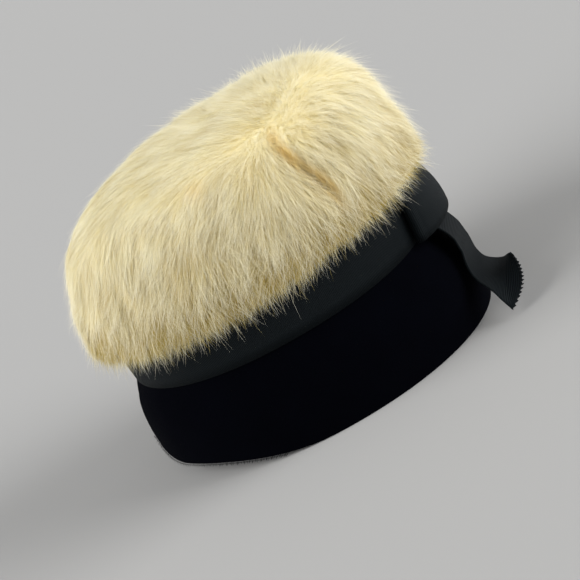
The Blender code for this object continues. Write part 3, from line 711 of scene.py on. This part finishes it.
frizz *= (chance.normal(0.0, 1.0, HAIRS) * (FRIZZ + FRIZZ_LOW * low_down[lock])
          * np.where(stray, FRIZZ_STRAY, 1.0))[:, None]
frizz += chance.normal(0.0, 1.0, (HAIRS, 3)) * np.where(stray, CURL_STRAY, CURL)[:, None]
rise = chance.uniform(STRAY_RISE_LEAST, STRAY_RISE_MOST, HAIRS) * stray
rise *= (1.0 + STRAY_RISE_FRONT * at_front + STRAY_RISE_BACK * at_back_top)[lock]
aside = roots - guide_roots[lock]
strands = []
for segment in range(SEGMENTS + 1):
    share = segment / SEGMENTS * reach
    low = np.minimum((share * SEGMENTS).astype(int), SEGMENTS - 1)
    part = (share * SEGMENTS - low)[:, None]
    centre = guide_points[low, lock] * (1.0 - part) + guide_points[low + 1, lock] * part
    strands.append(centre + aside * (1.0 - clump * share ** CLUMP_LATE)[:, None]
                   + frizz * (share ** FRIZZ_LATE)[:, None]
                   + guide_normals[low, lock] * (rise * share ** RISE_LATE)[:, None])
strands, facing = np.array(strands), guide_normals[:, lock]
for row, outwards in zip(strands, facing):
    away, distance, depth = from_tuck(row)
    away -= outwards * (away * outwards).sum(1, keepdims=True)
    row += unit(away) * (TUCK_OPEN * depth * bump_at(distance, TUCK_OPEN_SPREAD))[:, None]
along = unit(np.gradient(strands, axis=0))
level = unit(np.cross(along, facing))
roll = chance.normal(0.0, HAIR_ROLL, HAIRS)[None, :, None]
across = level * np.cos(roll) + np.cross(level, along) * np.sin(roll)
widths = HAIR_WIDTH * chance.uniform(THINNEST, THICKEST, HAIRS)
half = across * (np.array(TAPER)[:, None] * widths / 2.0)[:, :, None]

# Marks: how light each hair is, how tan, and how far its own bend turns the light from the pelt's.
# The tone drops low on the side and at the lip: partly the fur's own yellowing, partly painted shade there.
tone = TONE - TONE_SIDE * share_from(roots[:, 2], *SIDE_SHADE_ZONE)
tone -= TONE_LIP * share_from(roots[:, 2], *LIP_SHADE_ZONE)
tone += TONE_WAVE * drift(roots, TONE_WAVE_SIZE, 21.0)
tone += (chance.normal(0.0, 1.0, GUIDES) * (TONE_LOCK + TONE_LOCK_LOW * low_down))[lock]
tone += chance.normal(0.0, TONE_HAIR, HAIRS) + np.where(stray, TONE_STRAY, 0.0)
tan_marks = np.array([depth * bump_at(distance, TAN_SPREAD) for _, distance, depth in map(from_tuck, strands)])
from_dimple = np.linalg.norm(strands - DIMPLE, axis=2)
tan_marks = np.maximum(tan_marks, DIMPLE_TAN * bump_at(from_dimple, DIMPLE_SPREAD))
own_bend = FUR_SHADE + FUR_SHADE_LOW * low_down[lock]

hair_finish, hair_tree, hair_shader = new_finish("cream_fur_hair", (0.90, 0.76, 0.44), 0.60)
hair_shader.inputs["Specular IOR Level"].default_value = 0.14
hair_shader.inputs["Specular Tint"].default_value = (1.0, 0.92, 0.70, 1.0)
hair_shader.inputs["Sheen Weight"].default_value = 0.02
marks = add_node(hair_tree, "ShaderNodeAttribute", attribute_name="hair_marks")
parts = add_node(hair_tree, "ShaderNodeSeparateColor")
hair_tree.links.new(marks.outputs["Color"], parts.inputs["Color"])
length_ramp = add_node(hair_tree, "ShaderNodeValToRGB")
stops = length_ramp.color_ramp.elements
for share, _ in HAIR_COLOURS[1:-1]:
    stops.new(share)
for stop, (_, colour) in zip(stops, HAIR_COLOURS):
    stop.color = (*colour, 1.0)
hair_tree.links.new(parts.outputs["Red"], length_ramp.inputs["Fac"])
tones = add_node(hair_tree, "ShaderNodeMix", data_type="RGBA")
tones.inputs["A"].default_value = (*WARM_YELLOWING_AND_SHADE, 1.0)
tones.inputs["B"].default_value = (1.0, 1.0, 1.0, 1.0)
hair_tree.links.new(parts.outputs["Green"], tones.inputs["Factor"])
toned = add_node(hair_tree, "ShaderNodeMix", data_type="RGBA", blend_type="MULTIPLY")
toned.inputs["Factor"].default_value = 1.0
hair_tree.links.new(length_ramp.outputs["Color"], toned.inputs["A"])
hair_tree.links.new(tones.outputs["Result"], toned.inputs["B"])
tanned = add_node(hair_tree, "ShaderNodeMix", data_type="RGBA")
tanned.inputs["B"].default_value = (*TAN, 1.0)
hair_tree.links.new(parts.outputs["Blue"], tanned.inputs["Factor"])
hair_tree.links.new(toned.outputs["Result"], tanned.inputs["A"])
hair_tree.links.new(tanned.outputs["Result"], hair_shader.inputs["Base Color"])
through = add_node(hair_tree, "ShaderNodeBsdfTranslucent")
hair_tree.links.new(tanned.outputs["Result"], through.inputs["Color"])
hair_mix = add_node(hair_tree, "ShaderNodeMixShader", Fac=LIGHT_THROUGH)
hair_tree.links.new(hair_shader.outputs["BSDF"], hair_mix.inputs[1])
hair_tree.links.new(through.outputs["BSDF"], hair_mix.inputs[2])
hair_tree.links.new(hair_mix.outputs["Shader"], hair_tree.nodes["Material Output"].inputs["Surface"])


def lay_hairs(name, mine):
    """Joined strips of the hairs of one tuft, each with its share along, its tone and its tan mark."""
    left, right, tip = strands[:, mine] - half[:, mine], strands[:, mine] + half[:, mine], strands[-1, mine]
    rows = [row for segment in range(SEGMENTS) for row in (left[segment], right[segment])] + [tip]
    points = np.stack(rows, axis=1)
    count, each = points.shape[:2]
    strip = [corner for s in range(SEGMENTS - 1) for corner in (2 * s, 2 * s + 1, 2 * s + 3, 2 * s + 2)]
    strip = np.array(strip + [each - 3, each - 2, each - 1])
    mesh = bpy.data.meshes.new(name)
    mesh.vertices.add(count * each)
    mesh.vertices.foreach_set("co", points.ravel())
    mesh.loops.add(count * len(strip))
    mesh.loops.foreach_set("vertex_index", (np.arange(count)[:, None] * each + strip).ravel())
    mesh.polygons.add(count * SEGMENTS)
    starts = np.arange(count)[:, None] * len(strip) + np.arange(SEGMENTS) * 4
    mesh.polygons.foreach_set("loop_start", starts.ravel())
    mesh.update(calc_edges=True)
    mesh.shade_smooth()
    steps = [segment for segment in range(SEGMENTS) for _ in (0, 1)] + [SEGMENTS]
    values = np.ones((count, each, 4))
    values[:, :, 0] = np.array(steps) / SEGMENTS
    values[:, :, 1] = np.clip(tone[mine], 0.0, 1.0)[:, None]
    values[:, :, 2] = tan_marks[steps][:, mine].T
    mesh.color_attributes.new("hair_marks", "FLOAT_COLOR", "POINT").data.foreach_set("color", values.ravel())
    squared = np.cross(np.cross(along[:, mine], facing[:, mine]), along[:, mine])
    outwards = unit(squared * own_bend[mine, None] + facing[:, mine])
    mesh.normals_split_custom_set_from_vertices(outwards[steps].transpose(1, 0, 2).reshape(-1, 3))
    mesh.materials.append(hair_finish)
    hairs = new_object(name, mesh)
    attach(hairs, "root")


for tuft in range(TUFTS):
    lay_hairs(f"fur_hair_{tuft}", slice(tuft * HAIRS // TUFTS, (tuft + 1) * HAIRS // TUFTS))


# Room: a plain pale floor without an edge in sight, a broad soft light high on the right of the picture, a
# weaker one low on its left, and even light all round.
FLOOR_RADIUS = 9.0
FLOOR_COLOUR = (0.377, 0.374, 0.367)
# Each light: its way across and up in the picture and near to the camera, softness in degrees, strength
LIGHTS = {"key": (1.0, 0.90, 0.40, 50.0, 4.15), "fill": (-0.97, -0.10, 0.36, 55.0, 3.3)}
AIR_COLOUR, AIR_STRENGTH = (0.97, 0.98, 1.0), 0.42

floor_tool = bmesh.new()
bmesh.ops.create_circle(floor_tool, cap_ends=True, segments=64, radius=FLOOR_RADIUS)
floor = new_object("floor", bpy.data.meshes.new("floor"))
floor_tool.to_mesh(floor.data)
floor_tool.free()
floor.data.materials.append(new_finish("floor_paint", FLOOR_COLOUR, 0.9)[0])

for name, (to_right, to_top, to_viewer, softness, strength) in LIGHTS.items():
    lamp = bpy.data.lights.new(name, "SUN")
    lamp.angle = math.radians(softness)
    lamp.energy = strength
    to_lamp = camera_right * to_right + camera_up * to_top + to_camera * to_viewer
    new_object(name, lamp).matrix_world = to_lamp.to_track_quat("Z", "Y").to_matrix().to_4x4()

air = bpy.data.worlds.new("room")
air.use_nodes = True
air.node_tree.nodes["Background"].inputs["Color"].default_value = (*AIR_COLOUR, 1.0)
air.node_tree.nodes["Background"].inputs["Strength"].default_value = AIR_STRENGTH
bpy.context.scene.world = air
bpy.context.scene.view_settings.view_transform = "Standard"
